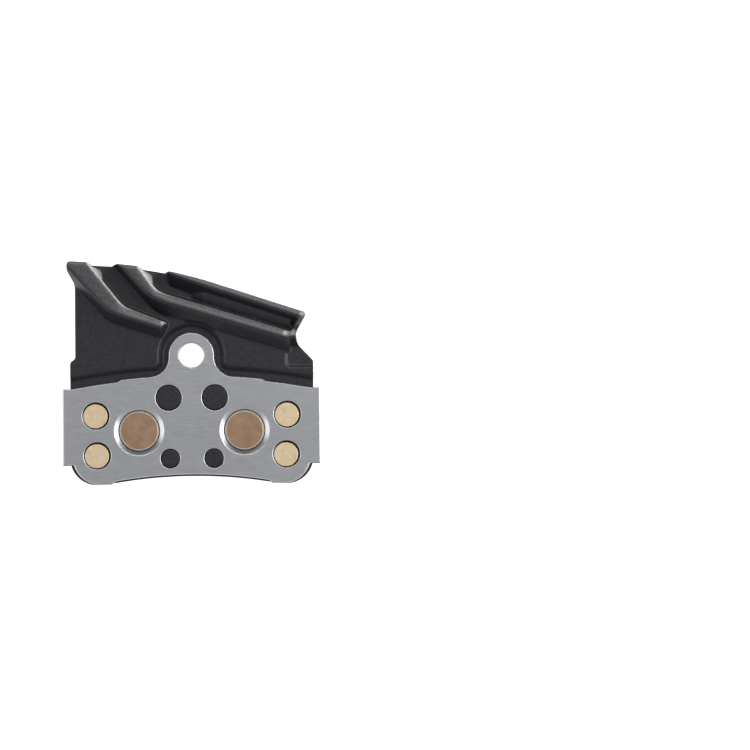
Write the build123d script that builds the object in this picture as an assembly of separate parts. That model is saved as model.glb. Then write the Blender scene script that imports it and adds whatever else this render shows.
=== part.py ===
from build123d import *
import math
import os

# Finned disc brake pad for a four-piston caliper, in millimetres.
# The pad lies on its rubbing face. The origin is the middle of that face, +Z points to the
# pistons, +Y to the radiator fin and +X along the pad.

# Thickness of the stack, from the rubbing face to the piston side
compound_thickness = 1.9
carrier_thickness = 0.5
fin_sheet_thickness = 0.9
plate_thickness = 1.1

# Retaining pin, which carries the pad in the caliper
pin_bore = 5.0
pin_height = 14.05

# Back plate: sheet outline
tab_wall = 2.05
tab_root_fillet = 3.9
plate_top_apex = 10.08
plate_top_radius = 128.0
top_step_x = 14.0
top_step_drop = 0.38
plate_bottom_apex = -9.6
plate_bottom_radius = 92.0
lobe_step = 0.7
lobe_inset = 0.55
lobe_corner = 5.5
lobe_flat = 2.2
step_run = 0.7
edge_break = 0.2

# Back plate: ears bent towards the disc
ear_half_width = 25.5
ear_rise = 3.9
ear_bend_inner = 0.15
ear_bend_outer = 0.3
ear_flange_end_z = 2.0

# Round features that pass through the stack, all mirrored across the middle line. Keys stand at
# (distance from the block's side, y). Rivets and bosses stand at (share of the way from the
# middle line to the upper keys, y).
rivet_station = (0.551, -0.91)
rivet_diameter = 7.85
rivet_rim = 0.3
rivet_rim_drop = 0.12
rivet_recess = 0.45
rivet_clearance = 0.15
rivet_lip_width = 0.9
rivet_lip_depth = 0.5
key_stations = [(4.72, 2.11), (4.96, -5.77)]
key_diameter = 4.8
key_recess = 0.15
key_clearance = 0.25
hole_edge_break = 0.12
boss_stations = [(0.241, 5.6), (0.228, -6.46)]
boss_diameters = [4.9, 3.6]
boss_recess = 0.2
boss_clearance = 0.1

# Friction block and its carrier
block_inset = 0.45
block_top_apex = 8.65
block_top_radius = 107.0
block_bottom_apex = -8.6
block_bottom_radius = 90.0
block_top_corner = 3.6
block_bottom_corner = 5.0
block_edge_chamfer = 0.25

# Radiator fin: sheet outline. Corners are (x, height above the pin, corner radius).
ear_gap = 0.3
fin_bottom_reach = 0.33
fin_lobe_reach = 0.03
fin_bottom_corner = 5.4
fin_shoulder_drop = 1.25
fin_shoulder_corner = 0.8
fin_shoulder_shift = 0.12
fin_waist_corners = [
    (-24.52, 18.6, 0.7), (-24.47, 16.82, 0.8), (-22.95, 14.2, 3.0), (-22.95, -0.6, 0.6),
]
fin_crown_corner = (-5.63, 17.45, 85.0)
fin_notch_corners = [(20.1, 3.1, 2.8), (22.95, 8.07, 0.45)]
crown_step = 0.3
crown_bevel = 0.35

# Radiator fin: raised land with a sloped pocket wall round the back plate
land_height = 1.2
pocket_ledge = 1.05
pocket_wall_run = 1.1
land_corner = 0.9
end_pocket_corner = (18.7, -2.6)
end_pocket_depth = 0.3
end_pocket_fillet = 1.0
end_pocket_draft = 45.0

# Radiator fin: cooling fins on the piston side. A crest is a list of (x, height above the
# pin, corner radius), and runs are how far the foot of each side stands out from its crest.
fin_height = 3.5
outer_fin_crest = [
    (-26.8, 19.95, 0), (-16.3, 8.35, 6.0), (-5.9, 5.05, 0.6),
    (-5.2, 6.3, 0.6), (-13.5, 9.6, 5.0), (-21.75, 19.95, 0),
]
outer_fin_runs = [1.25, 1.75, 0.8, 0.4, 0.4, 0]
outer_fin_fillet = 0.4
middle_fin_crest = [
    (-16.3, 19.95, 0), (-8.6, 11.25, 6.0), (19.2, 2.75, 0.7),
    (19.6, 4.3, 0.7), (-6.7, 12.5, 4.0), (-12.25, 19.95, 0),
]
middle_fin_runs = [0.6, 2.3, 0.8, 0.4, 0.4, 0]
middle_fin_fillet = 0.7
rim_fin_crest = [
    (-4.75, 18.5, 0), (-4.3, 15.95, 1.4), (3.0, 13.3, 0), (22.3, 6.9, 0), (25.5, 9.5, 0),
]
rim_fin_runs = [0.45, 2.0, 2.0, 0, 0]
rim_fin_fillet = 0.8
end_wall_crest = [(19.25, 3.2, 0), (23.0, 3.2, 0), (25.5, 8.2, 0), (22.05, 8.2, 0)]
end_wall_runs = [1.5, 0, 0, 0.8]
end_wall_fillet = 0.4

# Radiator fin: facets that widen the right walls of two fins where they run out over the crown.
# Each is placed by its distance along the crest's edge, and its foot by (further along, outwards).
outer_flare_start = 2.0
middle_flare_start = 3.0
flare_length = 5.5
flare_foot = (3.1, 1.55)
flare_root = 0.35
flare_drop = 0.15

# Radiator fin: slanted face on the disc side, rising from a hinge line to the rim
hinge_start = (5.8, 5.65)
hinge_end = (17.2, 1.8)
slant_angle = 25.0
slant_web = 1.3
web_ramp_angle = 35.0
web_ramp_offset = 2.6

# Radiator fin: slanted ridges and two stops on the disc side
ridge_count = 4
ridge_first_x = -14.6
ridge_pitch = 6.67
ridge_first_angle = 66.6
ridge_fan_step = 3.1
ridge_low_y = 4.0
ridge_width = 3.9
ridge_overlap = 0.5
rim_bead = 0.9
rim_bead_reach = 6.0
rim_bead_end_x = 0.5
ridge_height = 1.1
ridge_draft = 40.0
stop_place = (20.45, -2.35)
stop_height = 0.5
stop_block = (2.9, 2.3)
stop_nub_diameter = 2.4
stop_fillet = 0.5

# Levels that follow from the stack
carrier_z = compound_thickness
fin_z = carrier_z + carrier_thickness
plate_z = fin_z + fin_sheet_thickness
back_z = plate_z + plate_thickness
land_z = plate_z + land_height
crest_z = land_z + fin_height
ear_bend_x = ear_half_width - plate_thickness - 2 * ear_bend_inner
fin_half_width = ear_half_width - plate_thickness - ear_gap
tab_radius = pin_bore / 2 + tab_wall
lobe_half_width = ear_bend_x - lobe_inset
lobe_x = lobe_half_width - lobe_corner - lobe_flat - step_run
lobe_arc_y = plate_bottom_apex - plate_bottom_radius + math.sqrt(plate_bottom_radius**2 - lobe_x**2)
lobe_low_y = lobe_arc_y - lobe_step
ear_low_y = lobe_low_y + ear_rise
block_half_width = fin_half_width - block_inset
crown_height = max(y for x, y, radius in fin_waist_corners + [fin_crown_corner])

# Places of the round features on the right half
key_places = [(block_half_width - inset, y) for inset, y in key_stations]
rivet_place = (rivet_station[0] * key_places[0][0], rivet_station[1])
boss_places = [(share * key_places[0][0], y) for share, y in boss_stations]

# Distance below which two places count as one when edges and corners are picked
tolerance = 0.01


def arc_point(apex, radius, x):
    """Point at x on an arc that crosses the middle line at height apex and falls to both sides."""
    return (x, apex - radius + math.sqrt(radius**2 - x**2))


def arc_edge(apex, radius, x0, x1):
    """The stretch of such an arc from x0 to x1."""
    stations = (x0, (x0 + x1) / 2, x1)
    return ThreePointArc(*[arc_point(apex, radius, x) for x in stations])


def rounded_face(corners):
    """Face inside straight sides, with each corner (x, y, radius) rounded."""
    points = [(x, y) for x, y, radius in corners]
    radii = [radius for x, y, radius in corners]
    return make_face(FilletPolyline(*points, radius=radii, close=True))


def above_pin(corners):
    """Corners whose heights are given from the pin, in the pad's frame."""
    return [(x, y + pin_height, radius) for x, y, radius in corners]


def both_sides(place):
    """A place on the right half and its mirror image on the left."""
    x, y = place
    return [(x, y), (-x, y)]


def cylinders(places, diameter, z0, z1):
    """Upright round bodies of one diameter at the given places."""
    discs = [Pos(x, y, z0) * Circle(diameter / 2) for x, y in places]
    return [extrude(disc, amount=z1 - z0) for disc in discs]


def mirrored_face(half_edges):
    """Face between a half outline that starts and ends on the middle line and its mirror image."""
    half = Curve() + half_edges
    return make_face(half.edges() + mirror(half, about=Plane.YZ).edges())


def tab_arc(radius):
    """Quarter circle round the pin, from the middle line to the right."""
    mid = radius * math.sqrt(0.5)
    return ThreePointArc((0, pin_height + radius), (mid, pin_height + mid), (radius, pin_height))


def plate_sheet():
    """Flat outline of the back plate up to the ears' bend lines."""
    outer_apex = plate_top_apex - top_step_drop
    step_x = top_step_x + step_run
    tab_root = arc_point(plate_top_apex, plate_top_radius, tab_radius)
    corner_x = lobe_half_width - lobe_corner
    corner_y = lobe_low_y + lobe_corner
    corner_angle = math.degrees(math.asin((ear_low_y - corner_y) / lobe_corner))
    lobe_start = arc_point(plate_bottom_apex, plate_bottom_radius, lobe_x)
    step_end = arc_point(outer_apex, plate_top_radius, step_x)
    top_end = arc_point(outer_apex, plate_top_radius, ear_bend_x)
    corner = CenterArc((corner_x, corner_y), lobe_corner, corner_angle, -90 - corner_angle)
    half_edges = [
        tab_arc(tab_radius),
        Line((tab_radius, pin_height), tab_root),
        arc_edge(plate_top_apex, plate_top_radius, tab_radius, top_step_x),
        Line(arc_point(plate_top_apex, plate_top_radius, top_step_x), step_end),
        arc_edge(outer_apex, plate_top_radius, step_x, ear_bend_x),
        Line(top_end, (ear_bend_x, ear_low_y)),
        Line((ear_bend_x, ear_low_y), corner @ 0),
        corner,
        Line(corner @ 1, (lobe_x + step_run, lobe_low_y)),
        Line((lobe_x + step_run, lobe_low_y), lobe_start),
        arc_edge(plate_bottom_apex, plate_bottom_radius, lobe_x, 0),
    ]
    sheet = mirrored_face(half_edges)
    roots = [v for v in sheet.vertices() if abs(v.Y - tab_root[1]) < tolerance]
    return fillet(roots, min(tab_root_fillet, pin_height - tab_root[1] - tolerance))


def bent_ear():
    """Right ear: the sheet turned down through a tight coined bend, with a straight flange below it."""
    inner_x = ear_half_width - plate_thickness
    profile = rounded_face([
        (ear_bend_x, plate_z, 0), (ear_bend_x, back_z, 0), (ear_half_width, back_z, ear_bend_outer),
        (ear_half_width, ear_flange_end_z, 0), (inner_x, ear_flange_end_z, 0),
        (inner_x, plate_z, ear_bend_inner),
    ])
    ear_top_y = arc_point(plate_top_apex - top_step_drop, plate_top_radius, ear_bend_x)[1]
    upright = Plane.XZ.offset(-ear_low_y) * profile
    return extrude(upright, amount=ear_top_y - ear_low_y, dir=(0, 1, 0))


def back_plate():
    """Stamped steel sheet with pin tab, bent ears, rounded rivet holes and plain holes."""
    plate = extrude(Pos(0, 0, plate_z) * plate_sheet(), amount=plate_thickness)
    rims = [e for e in plate.edges().filter_by_position(Axis.Z, back_z, back_z)
            if abs(e.center().X) < ear_bend_x - tolerance]
    plate = chamfer(rims, edge_break)
    ear = bent_ear()
    plate = plate + ear + mirror(ear, about=Plane.YZ)
    rivet_radius = rivet_diameter / 2 + rivet_clearance
    holes = cylinders([(0, pin_height)], pin_bore, plate_z, back_z)
    for place in key_places:
        holes += cylinders(both_sides(place), key_diameter + 2 * key_clearance, plate_z, back_z)
    for place, diameter in zip(boss_places, boss_diameters):
        holes += cylinders(both_sides(place), diameter + 2 * boss_clearance, plate_z, back_z)
    plate -= holes
    hole_edges = plate.edges().filter_by(GeomType.CIRCLE).filter_by_position(Axis.Z, back_z, back_z)
    plate = chamfer([e for e in hole_edges if e.is_closed], hole_edge_break)
    lip_base = (Align.CENTER, Align.CENTER, Align.MAX)
    for x, y in both_sides(rivet_place):
        lip = Cone(rivet_radius, rivet_radius + rivet_lip_width, rivet_lip_depth, align=lip_base)
        plate -= Pos(x, y, back_z) * lip
    return plate - cylinders(both_sides(rivet_place), 2 * rivet_radius, plate_z, back_z)


def fin_outline():
    """Outline of the whole casting, from the bottom edge to the crown."""
    left_x = fin_shoulder_shift - fin_half_width
    right_x = fin_shoulder_shift + fin_half_width
    upper = above_pin(
        [(right_x, -fin_shoulder_drop, fin_shoulder_corner)]
        + fin_notch_corners + [fin_crown_corner] + fin_waist_corners
        + [(left_x, -fin_shoulder_drop, fin_shoulder_corner)]
    )
    upper = [(right_x, 0, 0)] + upper + [(left_x, 0, 0)]
    low_y = lobe_low_y - fin_lobe_reach
    apex = plate_bottom_apex - fin_bottom_reach
    lower = rounded_face([
        (-fin_half_width, low_y, fin_bottom_corner), (fin_half_width, low_y, fin_bottom_corner),
        (fin_half_width, 0, 0), (-fin_half_width, 0, 0),
    ])
    lower -= Pos(0, apex - plate_bottom_radius) * Circle(plate_bottom_radius)
    return lower + rounded_face(upper)


def spread(corners, runs):
    """Corners of the same outline after each side has moved outwards by its own run."""
    count = len(corners)
    sides = []
    for i in range(count):
        x0, y0, _ = corners[i]
        x1, y1, _ = corners[(i + 1) % count]
        length = math.hypot(x1 - x0, y1 - y0)
        nx, ny = (y1 - y0) / length, (x0 - x1) / length
        sides.append((nx, ny, nx * x0 + ny * y0 + runs[i]))
    moved = []
    for i in range(count):
        a1, b1, c1 = sides[i - 1]
        a2, b2, c2 = sides[i]
        det = a1 * b2 - a2 * b1
        moved.append(((c1 * b2 - c2 * b1) / det, (a1 * c2 - a2 * c1) / det, corners[i][2]))
    return moved


def drafted_solid(low_corners, low_z, high_corners, high_z):
    """Solid with plane sides between two outlines whose sides run parallel."""
    low = [Vector(x, y, low_z) for x, y, radius in low_corners]
    high = [Vector(x, y, high_z) for x, y, radius in high_corners]
    sides = [[low[i - 1], low[i], high[i], high[i - 1]] for i in range(len(low))]
    return Solid(Shell([Face(Wire.make_polygon(loop)) for loop in sides + [low, high]]))


def cooling_fin(crest, runs, crest_fillet):
    """One drafted fin on the piston side: rounded corners and crest, and a foot in the land."""
    depth = (crest_z - plate_z) / fin_height
    crest = above_pin(crest)
    foot = spread(crest, [run * depth for run in runs])
    fin = drafted_solid(foot, plate_z, crest, crest_z)
    for (x0, y0, radius), (x1, y1, _) in zip(foot, crest):
        if radius > 0:
            middle = ((x0 + x1) / 2, (y0 + y1) / 2, (plate_z + crest_z) / 2)
            fin = fillet(fin.edges().sort_by_distance(middle)[0], radius)
    return fillet(fin.edges().filter_by_position(Axis.Z, crest_z, crest_z), crest_fillet)


def crown_flare(crest, start):
    """Wedge with a sloped facet against a fin's right wall, from near its crest down to the land."""
    (x1, y1, _), (x0, y0, _) = above_pin(crest)[-2:]
    length = math.hypot(x1 - x0, y1 - y0)
    along = Vector((x1 - x0) / length, (y1 - y0) / length, 0)
    out = Vector(-along.Y, along.X, 0)
    edge = Vector(x0, y0, 0) + along * start
    inner = edge - out * flare_root
    middle = along * flare_foot[0]
    top = inner + Vector(0, 0, crest_z - flare_drop)
    low = top + along * flare_length
    foot = edge + middle + out * flare_foot[1] + Vector(0, 0, land_z)
    root = inner + middle + Vector(0, 0, plate_z)
    loops = [[top, low, foot], [top, foot, root], [foot, low, root], [top, root, low]]
    return Solid(Shell([Face(Wire.make_polygon(loop)) for loop in loops]))


def slant_frame():
    """Hinge line of the slanted face: its start, its direction and its left side's direction."""
    x0, y0 = hinge_start
    x1, y1 = hinge_end
    length = math.hypot(x1 - x0, y1 - y0)
    lean = math.radians(ridge_first_angle - (ridge_count - 1) * ridge_fan_step)
    start = Vector(x0, y0 + pin_height, fin_z)
    along = Vector((x1 - x0) / length, (y1 - y0) / length, 0)
    side = Vector(-math.cos(lean), math.sin(lean), 0)
    return start, along, side


def rising_plane(origin, level_dir, angle):
    """Plane through origin and a level direction, rising at an angle to the left of it."""
    rise = math.radians(angle)
    normal = (level_dir.Y * math.sin(rise), -level_dir.X * math.sin(rise), math.cos(rise))
    return Plane(origin=origin, x_dir=level_dir, z_dir=normal)


def slant_region(left_shift):
    """Plan of the slanted face: hinge line, leaning left side, and an open end past the rim."""
    start, along, side = slant_frame()
    end_x = hinge_end[0] + left_shift
    low_left = start - along * left_shift
    low_right = start + along * ((end_x - start.X) / along.X)
    high_left = low_left + side * (crown_height / side.Y)
    high_right = Vector(end_x, high_left.Y, start.Z)
    corners = [low_left, low_right, high_right, high_left]
    return make_face(Polyline(*[(c.X, c.Y) for c in corners], close=True))


def slanted_web():
    """Floor between the middle and rim fins, which follows the slanted face underneath."""
    start, along, side = slant_frame()
    prism = extrude(Pos(0, 0, plate_z) * slant_region(web_ramp_offset), amount=crest_z - plate_z)
    lift = Vector(0, 0, slant_web / math.cos(math.radians(slant_angle)))
    foot = start - along * web_ramp_offset
    ramp = rising_plane(Vector(foot.X, foot.Y, land_z), -side, web_ramp_angle)
    web = split(prism, bisect_by=rising_plane(start + lift, along, slant_angle), keep=Keep.BOTTOM)
    return split(web, bisect_by=ramp, keep=Keep.BOTTOM)


def slanted_recess():
    """Room that the slanted face leaves open on the disc side."""
    start, along, side = slant_frame()
    prism = extrude(Pos(0, 0, fin_z) * slant_region(0), amount=crest_z - fin_z)
    return split(prism, bisect_by=rising_plane(start, along, slant_angle), keep=Keep.BOTTOM)


def pocket_outline(margin):
    """Outline that keeps a margin round the back plate's tab and top edge, open at the other sides."""
    radius = tab_radius + margin
    apex = plate_top_apex + margin
    side_x = ear_half_width + margin
    low_y = lobe_low_y - margin
    root = arc_point(apex, plate_top_radius, radius)
    face = mirrored_face([
        tab_arc(radius),
        Line((radius, pin_height), root),
        arc_edge(apex, plate_top_radius, radius, side_x),
        Line(arc_point(apex, plate_top_radius, side_x), (side_x, low_y)),
        Line((side_x, low_y), (0, low_y)),
    ])
    roots = [v for v in face.vertices() if abs(v.Y - root[1]) < tolerance]
    corner = land_corner + pocket_ledge + pocket_wall_run - margin
    return fillet(roots, min(corner, pin_height - root[1] - tolerance))


def plate_pocket():
    """Room for the back plate: a ledge round its edge, then a sloped wall up to the land."""
    ledge = pocket_outline(pocket_ledge)
    rim = pocket_outline(pocket_ledge + pocket_wall_run)
    wall = loft([Pos(0, 0, plate_z) * ledge, Pos(0, 0, land_z) * rim], ruled=True)
    return wall + extrude(Pos(0, 0, land_z) * rim, amount=fin_height)


def end_pocket():
    """Lower step of the land beside the notch."""
    x, y = end_pocket_corner
    size = fin_half_width - x + 2 * end_pocket_fillet
    corners = [(x, y, end_pocket_fillet), (x + size, y, 0), (x + size, y + size, 0), (x, y + size, 0)]
    rim = Pos(0, 0, land_z) * rounded_face(above_pin(corners))
    return extrude(rim, amount=-end_pocket_depth, taper=end_pocket_draft)


def disc_side_ridges():
    """Slanted ridges on the disc side, which fan out from left to right."""
    ridges = []
    run = ridge_height * math.tan(math.radians(ridge_draft))
    dy = crown_height - ridge_low_y + ridge_width
    for i in range(ridge_count):
        angle = math.radians(ridge_first_angle - i * ridge_fan_step)
        x = ridge_first_x + i * ridge_pitch + ridge_overlap
        dx = -dy / math.tan(angle)
        foot = above_pin([
            (x, ridge_low_y, 0), (x + dx, ridge_low_y + dy, 0),
            (x + dx - ridge_width, ridge_low_y + dy, 0), (x - ridge_width, ridge_low_y, 0),
        ])
        crest = spread(foot, [-run] * len(foot))
        ridges.append(drafted_solid(crest, fin_z - ridge_height, foot, fin_z))
    return ridges


def crown_strip(outline, width, end_x):
    """Strip of an outline along the crown, of the given width in y, up to end_x."""
    strip = outline - Pos(0, -width) * outline
    middle = (end_x - ear_half_width, fin_crown_corner[1] + pin_height)
    room = Pos(*middle) * Rectangle(2 * ear_half_width, 2 * rim_bead_reach)
    return strip & room


def disc_side_relief(outline):
    """Ridges on the disc side, and the bead along the crown that they run into."""
    bead = crown_strip(outline, rim_bead, rim_bead_end_x)
    room = extrude(Pos(0, 0, fin_z) * outline, amount=-ridge_height)
    return (extrude(Pos(0, 0, fin_z) * bead, amount=-ridge_height) + disc_side_ridges()) & room


def stops():
    """A block on the left and a nub on the right that space the pad from its spring."""
    x, y = stop_place
    block = Pos(-x, y + pin_height, fin_z) * RectangleRounded(*stop_block, stop_fillet)
    nub = Pos(x, y + pin_height, fin_z) * Circle(stop_nub_diameter / 2)
    return [extrude(block, amount=-stop_height), extrude(nub, amount=-stop_height)]


def radiator_fin():
    """Casting with a sheet under the back plate, a land, cooling fins and front ridges."""
    outline = fin_outline()
    land = outline - crown_strip(outline, crown_step, rim_fin_crest[0][0])
    fins = slanted_web()
    fins += cooling_fin(outer_fin_crest, outer_fin_runs, outer_fin_fillet)
    fins += cooling_fin(middle_fin_crest, middle_fin_runs, middle_fin_fillet)
    fins += cooling_fin(rim_fin_crest, rim_fin_runs, rim_fin_fillet)
    fins += cooling_fin(end_wall_crest, end_wall_runs, end_wall_fillet)
    fins += crown_flare(outer_fin_crest, outer_flare_start)
    fins += crown_flare(middle_fin_crest, middle_flare_start)
    room = extrude(Pos(0, 0, fin_z) * outline, amount=crest_z - fin_z)
    fins &= chamfer(room.edges().filter_by_position(Axis.Z, crest_z, crest_z), crown_bevel)
    casting = extrude(Pos(0, 0, fin_z) * land, amount=land_z - fin_z) - end_pocket()
    casting += fins
    casting -= slanted_recess()
    casting += disc_side_relief(land)
    casting -= plate_pocket()
    casting += stops()
    for place, diameter in zip(boss_places, boss_diameters):
        casting += cylinders(both_sides(place), diameter, plate_z, back_z - boss_recess)
    holes = cylinders([(0, pin_height)], pin_bore, fin_z - ridge_height, land_z)
    holes += cylinders(both_sides(rivet_place), rivet_diameter + 2 * rivet_clearance, fin_z, plate_z)
    for place in key_places:
        holes += cylinders(both_sides(place), key_diameter + 2 * key_clearance, fin_z, plate_z)
    return casting - holes


def block_outline():
    """Outline shared by the friction block and its carrier."""
    w = block_half_width
    top_right = arc_point(block_top_apex, block_top_radius, w)
    top_left = arc_point(block_top_apex, block_top_radius, -w)
    low_right = arc_point(block_bottom_apex, block_bottom_radius, w)
    low_left = arc_point(block_bottom_apex, block_bottom_radius, -w)
    face = make_face([
        arc_edge(block_top_apex, block_top_radius, -w, w), Line(top_right, low_right),
        arc_edge(block_bottom_apex, block_bottom_radius, w, -w), Line(low_left, top_left),
    ])
    face = fillet(face.vertices().group_by(Axis.Y)[-1], block_top_corner)
    return fillet(face.vertices().group_by(Axis.Y)[0], block_bottom_corner)


def carrier_plate():
    """Copper-plated sheet with two round bosses that rivet the stack together."""
    sheet = extrude(Pos(0, 0, carrier_z) * block_outline(), amount=carrier_thickness)
    top = back_z - rivet_recess
    rivets = cylinders(both_sides(rivet_place), rivet_diameter, fin_z, top - rivet_rim_drop)
    faces = cylinders(both_sides(rivet_place), rivet_diameter - 2 * rivet_rim, fin_z, top)
    holes = []
    for place in key_places:
        holes += cylinders(both_sides(place), key_diameter + 2 * key_clearance, carrier_z, fin_z)
    return sheet - holes + rivets + faces


def friction_block():
    """Sintered compound with four round keys that go up through the stack."""
    block = extrude(block_outline(), amount=compound_thickness)
    block = chamfer(block.edges().filter_by_position(Axis.Z, 0, 0), block_edge_chamfer)
    for place in key_places:
        block += cylinders(both_sides(place), key_diameter, compound_thickness, back_z - key_recess)
    return block


os.makedirs("parts", exist_ok=True)
pieces = {
    "back_plate": back_plate,
    "radiator_fin": radiator_fin,
    "carrier_plate": carrier_plate,
    "friction_block": friction_block,
}
for name, make in pieces.items():
    export_step(make(), f"parts/{name}.step")
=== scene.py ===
import bpy
import math
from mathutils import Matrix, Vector


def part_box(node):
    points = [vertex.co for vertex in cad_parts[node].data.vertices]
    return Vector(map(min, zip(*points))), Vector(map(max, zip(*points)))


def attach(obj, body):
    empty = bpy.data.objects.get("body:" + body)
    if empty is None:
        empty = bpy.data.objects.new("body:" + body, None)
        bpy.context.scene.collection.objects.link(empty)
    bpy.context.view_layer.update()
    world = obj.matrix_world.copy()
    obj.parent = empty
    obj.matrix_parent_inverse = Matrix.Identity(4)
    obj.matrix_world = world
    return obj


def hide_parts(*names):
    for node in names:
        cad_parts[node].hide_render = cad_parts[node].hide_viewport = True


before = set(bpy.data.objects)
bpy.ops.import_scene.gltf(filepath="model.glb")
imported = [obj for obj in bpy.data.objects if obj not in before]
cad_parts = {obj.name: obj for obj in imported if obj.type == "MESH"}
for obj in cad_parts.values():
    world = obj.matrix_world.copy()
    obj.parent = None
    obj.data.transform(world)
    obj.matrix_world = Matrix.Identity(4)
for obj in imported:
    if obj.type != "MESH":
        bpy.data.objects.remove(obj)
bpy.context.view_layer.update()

# Friction block
# A flat cake of bronze and graphite powder, pressed on the carrier and sintered, then ground flat on
# the side that rubs the disc. Its four round keys fill the stack's holes and keep a bright skin.
mm = 0.001
weld_gap = 0.001 * mm
flat_degrees = 0.2
sharp_degrees = 25
smooth_degrees = 40
edge_round_segments = 3
flat_face_weight = 100
block_edge_round = 0.12 * mm
key_skin_start = 0.05 * mm
key_shift_start = 0.5 * mm
key_shift = Vector((-0.1, -0.08, 0)) * mm
compound_dark = (0.1, 0.083, 0.063, 1)
compound_mid = (0.36, 0.3, 0.22, 1)
compound_pale = (0.6, 0.53, 0.42, 1)
key_deep = (0.52, 0.4, 0.23, 1)
key_gold = (0.7, 0.56, 0.36, 1)
key_pale = (0.8, 0.72, 0.57, 1)
grains_per_metre = 4500
skin_spots_per_metre = 1300
powder_relief = 0.03 * mm


def welded_copy(node, name):
    """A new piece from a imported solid, with its loose triangles joined and its flat faces made whole."""
    piece = bpy.data.objects.new(name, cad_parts[node].data.copy())
    bpy.context.collection.objects.link(piece)
    piece.data.materials.clear()
    bpy.ops.object.select_all(action="DESELECT")
    piece.select_set(True)
    bpy.context.view_layer.objects.active = piece
    bpy.ops.object.mode_set(mode="EDIT")
    bpy.ops.mesh.select_all(action="SELECT")
    bpy.ops.mesh.remove_doubles(threshold=weld_gap)
    bpy.ops.mesh.customdata_custom_splitnormals_clear()
    bpy.ops.mesh.dissolve_limited(angle_limit=math.radians(flat_degrees))
    bpy.ops.object.mode_set(mode="OBJECT")
    return piece


def apply_modifier(piece, kind, **settings):
    """Adds one modifier to the active piece and applies it."""
    modifier = piece.modifiers.new(kind.title(), kind)
    for setting, value in settings.items():
        setattr(modifier, setting, value)
    bpy.ops.object.modifier_apply(modifier=modifier.name)


def round_edges(piece, radius):
    """Breaks every sharp edge of a piece with a small round, and smooths the faces between them."""
    apply_modifier(piece, "BEVEL", width=radius, segments=edge_round_segments, limit_method="ANGLE",
                   angle_limit=math.radians(sharp_degrees), use_clamp_overlap=False)
    bpy.ops.object.shade_smooth_by_angle(angle=math.radians(smooth_degrees))
    apply_modifier(piece, "WEIGHTED_NORMAL", keep_sharp=True, weight=flat_face_weight)


def surface(name, settings):
    """A material whose shader has these constant settings, and that shader."""
    material = bpy.data.materials.new(name)
    material.use_nodes = True
    shader = material.node_tree.nodes["Principled BSDF"]
    for socket, value in settings.items():
        shader.inputs[socket].default_value = value
    return material, shader


def grain(shader, per_metre, detail=2.0, stretch=(1, 1, 1), rough=0.5):
    """Noise of so many lumps to the metre in the piece's own coordinates, as a number from 0 to 1."""
    tree = shader.id_data
    place = tree.nodes.new("ShaderNodeTexCoord")
    mapping = tree.nodes.new("ShaderNodeMapping")
    mapping.inputs["Scale"].default_value = stretch
    noise = tree.nodes.new("ShaderNodeTexNoise")
    noise.inputs["Scale"].default_value = per_metre
    noise.inputs["Detail"].default_value = detail
    noise.inputs["Roughness"].default_value = rough
    tree.links.new(place.outputs["Object"], mapping.inputs["Vector"])
    tree.links.new(mapping.outputs["Vector"], noise.inputs["Vector"])
    return noise.outputs["Fac"]


def grains(shader, per_metre):
    """Separate grains, so many to the metre in the piece's own coordinates, each with its own number."""
    tree = shader.id_data
    place = tree.nodes.new("ShaderNodeTexCoord")
    cells = tree.nodes.new("ShaderNodeTexVoronoi")
    cells.inputs["Scale"].default_value = per_metre
    number = tree.nodes.new("ShaderNodeSeparateColor")
    tree.links.new(place.outputs["Object"], cells.inputs["Vector"])
    tree.links.new(cells.outputs["Color"], number.inputs["Color"])
    return number.outputs["Red"]


def shades(shader, value, stops):
    """Colours that follow a number, each stop a place from 0 to 1 and its colour."""
    ramp = shader.id_data.nodes.new("ShaderNodeValToRGB")
    while len(ramp.color_ramp.elements) < len(stops):
        ramp.color_ramp.elements.new(1.0)
    for element, (place, colour) in zip(ramp.color_ramp.elements, stops):
        element.position = place
        element.color = colour
    shader.id_data.links.new(value, ramp.inputs["Fac"])
    return ramp.outputs["Color"]


def feed(shader, socket, value):
    """Leads a pattern into one of the shader's sockets."""
    shader.id_data.links.new(value, shader.inputs[socket])


def relief(shader, lumps, depth, strength):
    """Fine relief of the given depth in metres, where the lumps run from 0 to 1."""
    bump = shader.id_data.nodes.new("ShaderNodeBump")
    bump.inputs["Distance"].default_value = depth
    bump.inputs["Strength"].default_value = strength
    shader.id_data.links.new(lumps, bump.inputs["Height"])
    feed(shader, "Normal", bump.outputs["Normal"])


def ground_compound():
    """Ground sintered metal: grey-brown, with fine dark graphite and pale bronze grains."""
    material, shader = surface("ground_compound", {"Metallic": 0.35, "Roughness": 0.6})
    powder = grains(shader, grains_per_metre)
    feed(shader, "Base Color", shades(shader, powder, [
        (0.05, compound_dark), (0.3, compound_mid), (0.7, compound_mid), (0.95, compound_pale)]))
    relief(shader, grain(shader, grains_per_metre, detail=3), powder_relief, strength=0.6)
    return material


def pressed_compound():
    """Bright pressed skin of the keys: pale gold with lighter flecks and darker pores."""
    material, shader = surface("pressed_compound", {"Metallic": 0.6, "Roughness": 0.5})
    spots = grain(shader, skin_spots_per_metre, detail=6, rough=0.7)
    feed(shader, "Base Color", shades(shader, spots, [
        (0.3, key_deep), (0.45, key_gold), (0.56, key_gold), (0.7, key_pale)]))
    relief(shader, spots, powder_relief, strength=0.6)
    return material


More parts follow.
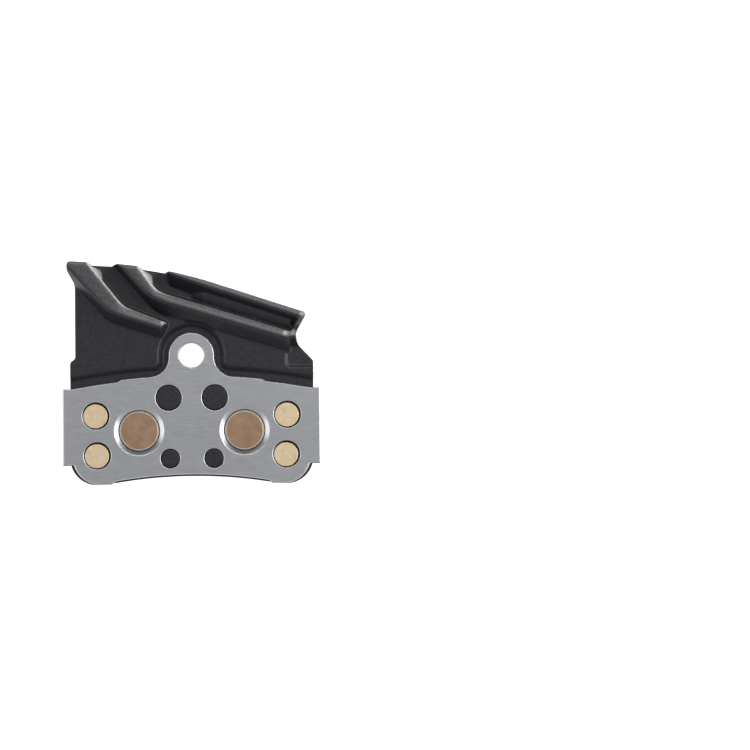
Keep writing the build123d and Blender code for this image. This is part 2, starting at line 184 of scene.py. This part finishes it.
friction_block = welded_copy("friction_block", "sintered_block")
round_edges(friction_block, block_edge_round)
friction_block.data.materials.append(ground_compound())
friction_block.data.materials.append(pressed_compound())
carrier_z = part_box("carrier_plate")[0].z
for face in friction_block.data.polygons:
    face.material_index = 1 if face.center.z > carrier_z + key_skin_start else 0
for vertex in friction_block.data.vertices:
    if vertex.co.z > carrier_z + key_shift_start:
        vertex.co += key_shift
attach(friction_block, "root")
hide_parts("friction_block")

# Carrier plate
# A copper-plated steel sheet that the powder is sintered on. Two round bosses are drawn up out of it
# and headed in the back plate's countersinks, which rivets the whole stack together.
carrier_edge_round = 0.06 * mm
rivet_rim_height = 0.2 * mm
rivet_top_margin = 0.01 * mm
copper_dark = (0.335, 0.212, 0.13, 1)
copper_brown = (0.365, 0.237, 0.15, 1)
copper_pale = (0.4, 0.268, 0.175, 1)
bare_rim = (0.55, 0.5, 0.44, 1)
tarnish_per_metre = 500
plating_lumps_per_metre = 6000
plating_relief = 0.004 * mm
rim_marks_per_metre = 3000


def between(shader, value, low, high, start=0.3, end=0.7):
    """A number from low to high as another goes from start to end."""
    scale = shader.id_data.nodes.new("ShaderNodeMapRange")
    scale.inputs["From Min"].default_value = start
    scale.inputs["From Max"].default_value = end
    scale.inputs["To Min"].default_value = low
    scale.inputs["To Max"].default_value = high
    shader.id_data.links.new(value, scale.inputs["Value"])
    return scale.outputs["Result"]


def satin_copper():
    """Copper plating dulled by the furnace: even brown with faint cloudy tarnish."""
    material, shader = surface("satin_copper", {"Metallic": 0.75})
    clouds = grain(shader, tarnish_per_metre, detail=4, rough=0.55)
    feed(shader, "Base Color", shades(shader, clouds, [
        (0.3, copper_dark), (0.5, copper_brown), (0.72, copper_pale)]))
    feed(shader, "Roughness", between(shader, clouds, low=0.38, high=0.48))
    relief(shader, grain(shader, plating_lumps_per_metre), plating_relief, strength=0.4)
    return material


def burnished_rim():
    """Edge of a headed boss, where the tool has rubbed the plating bright."""
    material, shader = surface("burnished_rim", {"Metallic": 0.9, "Base Color": bare_rim})
    feed(shader, "Roughness", between(shader, grain(shader, rim_marks_per_metre), low=0.36, high=0.46))
    return material


carrier = welded_copy("carrier_plate", "copper_carrier")
round_edges(carrier, carrier_edge_round)
carrier.data.materials.append(satin_copper())
carrier.data.materials.append(burnished_rim())
rivet_top_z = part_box("carrier_plate")[1].z
for face in carrier.data.polygons:
    on_rim = rivet_top_z - rivet_rim_height < face.center.z < rivet_top_z - rivet_top_margin
    face.material_index = 1 if on_rim else 0
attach(carrier, "root")
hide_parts("carrier_plate")

# Radiator fin
# One die casting in aluminium, coated matt black. Its sheet lies between the carrier and the back
# plate, and outside the caliper it carries the cooling fins, with soft corners as they leave the die.
cast_grid = 0.11 * mm
soften_factor = 0.5
cast_soften_steps = 16
crest_soften_steps = 50
crest_round_steps = 120
cast_share_kept = 0.23
crest_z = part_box("radiator_fin")[1].z
crest_depth = 1.6 * mm

# Places in the plan are (x, height above the pin) in millimetres. A long crest runs along its lower
# edge from a first to a last place, with its share of rounding. It leans and rounds by these sizes.
pin_y = 14.05
long_crests = [
    ((-16.3, 8.35), (-5.9, 5.05), 0.7),
    ((-8.6, 11.25), (19.2, 2.75), 1.0),
    ((-4.3, 15.95), (22.3, 6.9), 0.5),
]
crest_lean = 0.25
crest_width = 2.6 * mm
lean_start = 4.0 * mm
round_reach = 1.2 * mm
past_tip = 1.0 * mm
crisp_tip = 3.0 * mm

# Fin ends and hollows that the die leaves softer still: a place and the reach of the softening.
soft_spots = [
    (-5.6, 5.7, 1.8), (19.3, 3.5, 1.8), (22.3, 7.4, 1.2), (-18.3, 16.6, 2.6), (-8.3, 15.7, 2.6),
    (0.4, 12.0, 3.0), (19.0, -1.2, 3.0),
]

# Painted highlights go by height and by the way that the surface faces the lamps. Tip highlights are a
# place, a depth below the crests, a reach and the most brightness.
crest_highlight_depth = 1.9 * mm
highlight_top = 0.4 * mm
to_crown = (0.29, 0.957, 0)
crown_side_range = (-0.2, 0.3)
upward_range = (0.35, 0.6)
corner_highlight_depth = 3.2 * mm
to_corner_highlight = (0.72, 0.42, 0.55)
corner_range = (0.8, 0.96)
tip_highlights = [
    (-5.6, 6.3, 0.3, 0.7, 0.9), (18.55, 4.05, 0.3, 0.7, 0.9), (19.8, 4.2, 0.5, 0.9, 0.35),
    (21.9, 7.85, 0.3, 0.65, 0.6),
]
highlight_core = 0.1
coat_black = (0.0085, 0.009, 0.0118, 1)
coat_grey = (0.0235, 0.0245, 0.029, 1)
# Painted highlight colours: paler grey for the crests, near white for the corners and tips.
crest_highlight_grey = (0.07, 0.07, 0.073, 1)
crest_highlight_pale = (0.18, 0.18, 0.185, 1)
corner_highlight_grey = (0.4, 0.4, 0.405, 1)
corner_highlight_pale = (0.8, 0.8, 0.805, 1)
sand_per_metre = 3200
sand_relief = 0.018 * mm


def blend(shader, share, first, second):
    """Colour between two colours, which goes from the first to the second as the share rises."""
    mix = shader.id_data.nodes.new("ShaderNodeMix")
    mix.data_type = "RGBA"
    shader.id_data.links.new(share, mix.inputs["Factor"])
    shader.id_data.links.new(first, mix.inputs["A"])
    shader.id_data.links.new(second, mix.inputs["B"])
    return mix.outputs["Result"]


def reckon(shader, operation, first, second):
    """Number worked out from two others, such as their product or the larger one."""
    step = shader.id_data.nodes.new("ShaderNodeMath")
    step.operation = operation
    shader.id_data.links.new(first, step.inputs[0])
    shader.id_data.links.new(second, step.inputs[1])
    return step.outputs[0]


def height(shader, low, high):
    """A number that goes from 0 to 1 as the piece's own height goes from low to high."""
    place = shader.id_data.nodes.new("ShaderNodeTexCoord")
    axes = shader.id_data.nodes.new("ShaderNodeSeparateXYZ")
    shader.id_data.links.new(place.outputs["Object"], axes.inputs["Vector"])
    return between(shader, axes.outputs["Z"], 0.0, 1.0, low, high)


def facing(shader, direction, start, end):
    """A number that goes from 0 to 1 as the surface turns towards a direction."""
    place = shader.id_data.nodes.new("ShaderNodeTexCoord")
    dot = shader.id_data.nodes.new("ShaderNodeVectorMath")
    dot.operation = "DOT_PRODUCT"
    dot.inputs[1].default_value = direction
    shader.id_data.links.new(place.outputs["Normal"], dot.inputs[0])
    return between(shader, dot.outputs["Value"], 0.0, 1.0, start, end)


def near(shader, spot, reach, most):
    """A number that falls from its most to 0 from the middle of a spot to its edge."""
    place = shader.id_data.nodes.new("ShaderNodeTexCoord")
    gap = shader.id_data.nodes.new("ShaderNodeVectorMath")
    gap.operation = "DISTANCE"
    gap.inputs[1].default_value = spot
    shader.id_data.links.new(place.outputs["Object"], gap.inputs[0])
    return between(shader, gap.outputs["Value"], most, 0.0, highlight_core * reach, reach)


def plan_point(place):
    """Place in the plan, in metres, from (x, height above the pin) in millimetres."""
    return Vector((place[0], place[1] + pin_y)) * mm


def black_coating():
    """Black coat over a sandy casting, with painted highlights: paler on the crests' crown sides, corners
    and tips.
    """
    material, shader = surface("black_coating", {"Specular IOR Level": 0.42})
    sand = grain(shader, sand_per_metre, detail=3, rough=0.6)
    crest = height(shader, crest_z - crest_highlight_depth, crest_z - highlight_top)
    crown_side = facing(shader, to_crown, *crown_side_range)
    upward = facing(shader, (0, 0, 1), *upward_range)
    # Painted highlight: the coat turns paler on the high crest sides that face the overhead strip.
    crest_highlight_share = reckon(shader, "MULTIPLY", reckon(shader, "MULTIPLY", crest, crown_side), upward)
    # Painted highlight: near-white coat on corners that face the right panel and at the listed tip spots.
    corner = height(shader, crest_z - corner_highlight_depth, crest_z - highlight_top)
    corner_highlight_share = reckon(shader, "MULTIPLY", corner, facing(shader, to_corner_highlight, *corner_range))
    for x, y, depth, reach, most in tip_highlights:
        spot = plan_point((x, y)).to_3d()
        spot.z = crest_z - depth * mm
        corner_highlight_share = reckon(shader, "MAXIMUM", corner_highlight_share, near(shader, spot, reach * mm, most))
    coat = shades(shader, sand, [(0.3, coat_black), (0.7, coat_grey)])
    crest_highlight_colour = shades(shader, sand, [(0.3, crest_highlight_grey), (0.7, crest_highlight_pale)])
    corner_highlight_colour = shades(shader, sand, [(0.3, corner_highlight_grey), (0.7, corner_highlight_pale)])
    feed(shader, "Base Color", blend(shader, corner_highlight_share, blend(shader, crest_highlight_share, coat, crest_highlight_colour), corner_highlight_colour))
    feed(shader, "Roughness", between(shader, sand, low=0.3, high=0.42))
    relief(shader, sand, sand_relief, strength=0.8)
    return material


def shape_crest(piece, rounded, start, end, roundness):
    """Lets a long crest fall towards the crown from its lower edge, and marks it for rounding."""
    foot = plan_point(start)
    along = plan_point(end) - foot
    reach = along.length + past_tip
    along.normalize()
    out = Vector((-along.y, along.x))
    for vertex in piece.data.vertices:
        share = 1 - (crest_z - vertex.co.z) / crest_depth
        offset = vertex.co.xy - foot
        across = offset.dot(out)
        gone = offset.dot(along)
        beside = -round_reach < across < crest_width + round_reach
        if share > 0 and beside and 0 < gone < reach:
            share *= min(1, gone / lean_start)
            from_tip = min(1, (reach - gone) / crisp_tip)
            rounded.add([vertex.index], share * from_tip * roundness, "REPLACE")
            if 0 < across < crest_width:
                vertex.co.z -= crest_lean * across * share


def softness(place):
    """Share of the extra smoothing at a place: full on the crests, the fins' ends and some hollows."""
    share = 1 - (crest_z - place.z) / crest_depth
    for x, y, reach in soft_spots:
        share = max(share, 1 - (place.xy - plan_point((x, y))).length / (reach * mm))
    return max(share, 0.0)


casting = welded_copy("radiator_fin", "finned_casting")
apply_modifier(casting, "REMESH", mode="VOXEL", voxel_size=cast_grid, adaptivity=0.0)
rounded = casting.vertex_groups.new(name="rounded")
for start, end, roundness in long_crests:
    shape_crest(casting, rounded, start, end, roundness)
soft = casting.vertex_groups.new(name="soft")
for vertex in casting.data.vertices:
    soft.add([vertex.index], softness(vertex.co), "REPLACE")
for steps, group in [(cast_soften_steps, ""), (crest_soften_steps, "soft"), (crest_round_steps, "rounded")]:
    apply_modifier(casting, "SMOOTH", factor=soften_factor, iterations=steps, vertex_group=group)
apply_modifier(casting, "DECIMATE", ratio=cast_share_kept)
for vertex in casting.data.vertices:
    vertex.co.z = min(vertex.co.z, crest_z)
bpy.ops.object.shade_smooth()
casting.data.materials.append(black_coating())
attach(casting, "root")
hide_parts("radiator_fin")

# Back plate
# Stainless sheet, punched and then brushed, with its two ears bent over the casting's sides. The
# pistons push on it, the pin runs through its tab, and the bosses are headed in its two big holes.
plate_edge_round = 0.1 * mm
steel_grey = (0.52, 0.53, 0.555, 1)
steel_dull = (0.497, 0.506, 0.53, 1)
strokes_per_metre = 9000
stroke_stretch = (0.06, 1, 1)
stroke_relief = 0.004 * mm
sheared_shade_dark = (0.06, 0.06, 0.063, 1)
sheared_shade_grey = (0.14, 0.14, 0.147, 1)
tears_per_metre = 5000
tear_stretch = (1, 1, 0.2)
tear_relief = 0.01 * mm
ear_start_x = 23.7 * mm
sheared_slope = 0.35


def brushed_steel():
    """Fine brushed stainless sheet with short strokes along the pad."""
    material, shader = surface("brushed_steel", {"Metallic": 1.0})
    strokes = grain(shader, strokes_per_metre, detail=3, stretch=stroke_stretch, rough=0.6)
    feed(shader, "Base Color", shades(shader, strokes, [(0.35, steel_dull), (0.65, steel_grey)]))
    feed(shader, "Roughness", between(shader, strokes, low=0.3, high=0.4))
    relief(shader, strokes, stroke_relief, strength=0.35)
    return material


def shaded_sheared_steel():
    """Rough break that the shears leave on the ends of the ears, coloured near black as painted shade."""
    material, shader = surface("shaded_sheared_steel", {"Metallic": 1.0, "Roughness": 0.6})
    tears = grain(shader, tears_per_metre, detail=3, stretch=tear_stretch, rough=0.6)
    feed(shader, "Base Color", shades(shader, tears, [(0.3, sheared_shade_dark), (0.7, sheared_shade_grey)]))
    relief(shader, tears, tear_relief, strength=0.6)
    return material


plate = welded_copy("back_plate", "steel_back_plate")
round_edges(plate, plate_edge_round)
plate.data.materials.append(brushed_steel())
plate.data.materials.append(shaded_sheared_steel())
# The ears' end faces get the rough break and a near-black painted shade.
for face in plate.data.polygons:
    on_ear_end = abs(face.normal.y) > sheared_slope and abs(face.center.x) > ear_start_x
    face.material_index = 1 if on_ear_end else 0
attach(plate, "root")
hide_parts("back_plate")

# Floor
# A wide white table under the pad. It stays white behind the pad and keeps the soft shadow, and it
# lets light and looks through from below, so that the rubbing face is seen as well.
floor_size = 1.2
floor_gap = 0.02 * mm
floor_glow = 0.9
floor_shine = 0.35
table_white = (0.85, 0.85, 0.85, 1)
pure_white = (1, 1, 1, 1)


def white_table():
    """White top that glows to the eye and in reflections, and is clear to other light and from below."""
    material, shader = surface("white_table", {
        "Roughness": 0.9, "Base Color": table_white, "Emission Color": pure_white})
    tree = shader.id_data
    path = tree.nodes.new("ShaderNodeLightPath")
    seen = path.outputs["Is Camera Ray"]
    mirrored = path.outputs["Is Glossy Ray"]
    glow = between(shader, seen, 0.0, floor_glow, 0.0, 1.0)
    shine = between(shader, mirrored, 0.0, floor_shine, 0.0, 1.0)
    feed(shader, "Emission Strength", reckon(shader, "MAXIMUM", glow, shine))
    unseen = between(shader, reckon(shader, "MAXIMUM", seen, mirrored), 1.0, 0.0, 0.0, 1.0)
    side = tree.nodes.new("ShaderNodeNewGeometry")
    clear = tree.nodes.new("ShaderNodeBsdfTransparent")
    mix = tree.nodes.new("ShaderNodeMixShader")
    tree.links.new(reckon(shader, "MAXIMUM", unseen, side.outputs["Backfacing"]), mix.inputs["Fac"])
    tree.links.new(shader.outputs[0], mix.inputs[1])
    tree.links.new(clear.outputs[0], mix.inputs[2])
    tree.links.new(mix.outputs[0], tree.nodes["Material Output"].inputs["Surface"])
    return material


bpy.ops.object.select_all(action="DESELECT")
bpy.ops.mesh.primitive_plane_add(size=floor_size, location=(0, 0, -floor_gap))
floor = bpy.context.object
floor.name = "floor"
bpy.ops.object.transform_apply(location=True)
floor.data.materials.append(white_table())

# Studio light
# A pale room that darkens towards the wall behind the fins, two tall soft panels at the pad's ends,
# and a long strip overhead, a little towards the fins. The light from below grows to the right, and
# behind the pad the picture stays white.
sky_stops = [(0.0, 0.62), (0.25, 0.53), (0.5, 0.4), (0.66, 0.37), (0.8, 0.18), (0.92, 0.05)]
below_stops = [(0.0, 0.4), (0.5, 0.7), (0.8, 1.1), (1.0, 1.9)]
horizon_blur = 0.1
light_reach = 0.45
# A panel has its name, its turn and rise in degrees, its size in metres and its power in watts.
panels = [
    ("left_panel", 180, 35, (0.34, 0.36), 0.62),
    ("right_panel", 5, 35, (0.3, 0.34), 1.05),
    ("overhead_strip", 73, 58, (0.6, 0.08), 0.65),
]


def grey_stops(levels):
    """Stops of plain grey from places and levels."""
    return [(place, (level, level, level, 1)) for place, level in levels]


def studio_room():
    """The room's light from above and from below, and plain white where the eye looks past the pad."""
    world = bpy.data.worlds.new("studio")
    world.use_nodes = True
    tree = world.node_tree
    sky = tree.nodes["Background"]
    way = tree.nodes.new("ShaderNodeTexCoord")
    axes = tree.nodes.new("ShaderNodeSeparateXYZ")
    tree.links.new(way.outputs["Generated"], axes.inputs["Vector"])
    to_fins = between(sky, axes.outputs["Y"], 0.0, 1.0, -1.0, 1.0)
    to_right = between(sky, axes.outputs["X"], 0.0, 1.0, -1.0, 1.0)
    below = between(sky, axes.outputs["Z"], 1.0, 0.0, -horizon_blur, 0.0)
    above_light = shades(sky, to_fins, grey_stops(sky_stops))
    below_light = shades(sky, to_right, grey_stops(below_stops))
    backdrop = tree.nodes.new("ShaderNodeMix")
    backdrop.data_type = "RGBA"
    backdrop.inputs["B"].default_value = pure_white
    path = tree.nodes.new("ShaderNodeLightPath")
    tree.links.new(path.outputs["Is Camera Ray"], backdrop.inputs["Factor"])
    tree.links.new(blend(sky, below, above_light, below_light), backdrop.inputs["A"])
    feed(sky, "Color", backdrop.outputs["Result"])
    return world


def hang_panel(name, azimuth, rise, size, watts):
    """Hangs one soft panel at the lights' reach, turned to the pad."""
    lamp = bpy.data.lights.new(name, "AREA")
    lamp.shape = "RECTANGLE"
    lamp.size = size[0]
    lamp.size_y = size[1]
    lamp.energy = watts
    panel = bpy.data.objects.new(name, lamp)
    bpy.context.collection.objects.link(panel)
    turn = math.radians(azimuth)
    lift = math.radians(rise)
    direction = Vector((math.cos(turn) * math.cos(lift), math.sin(turn) * math.cos(lift), math.sin(lift)))
    panel.location = direction * light_reach
    panel.rotation_euler = direction.to_track_quat("Z", "Y").to_euler()


bpy.context.scene.world = studio_room()
for name, azimuth, rise, panel_size, watts in panels:
    hang_panel(name, azimuth, rise, panel_size, watts)

# Camera
# A long lens, nearly straight above the pad and a little towards the observer's side. The pad stands
# left of the middle of the picture.
picture_pixels = 750
pixels_per_mm = 5.032
camera_reach = 550.0
camera_elevation = 86.0
camera_roll = 0.5
aim_right_of_pin = 36.46
aim_below_pin = 4.31
plate_top_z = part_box("back_plate")[1].z / mm
sensor_width = 36.0
farthest_seen = 10.0
tilt = math.radians(90 - camera_elevation)
pan = math.atan2(aim_right_of_pin, camera_reach)
camera_data = bpy.data.cameras.new("camera")
camera_data.sensor_width = sensor_width
camera_data.lens = pixels_per_mm * camera_reach * sensor_width / picture_pixels
camera_data.clip_end = farthest_seen
camera = bpy.data.objects.new("camera", camera_data)
bpy.context.collection.objects.link(camera)
camera.rotation_mode = "ZYX"
camera.rotation_euler = (tilt, -pan, -math.radians(camera_roll))
camera.location = (
    0,
    (pin_y - aim_below_pin - camera_reach * math.sin(tilt)) * mm,
    (plate_top_z + camera_reach * math.cos(tilt)) * mm,
)
bpy.context.scene.camera = camera
bpy.context.scene.view_settings.view_transform = "Standard"
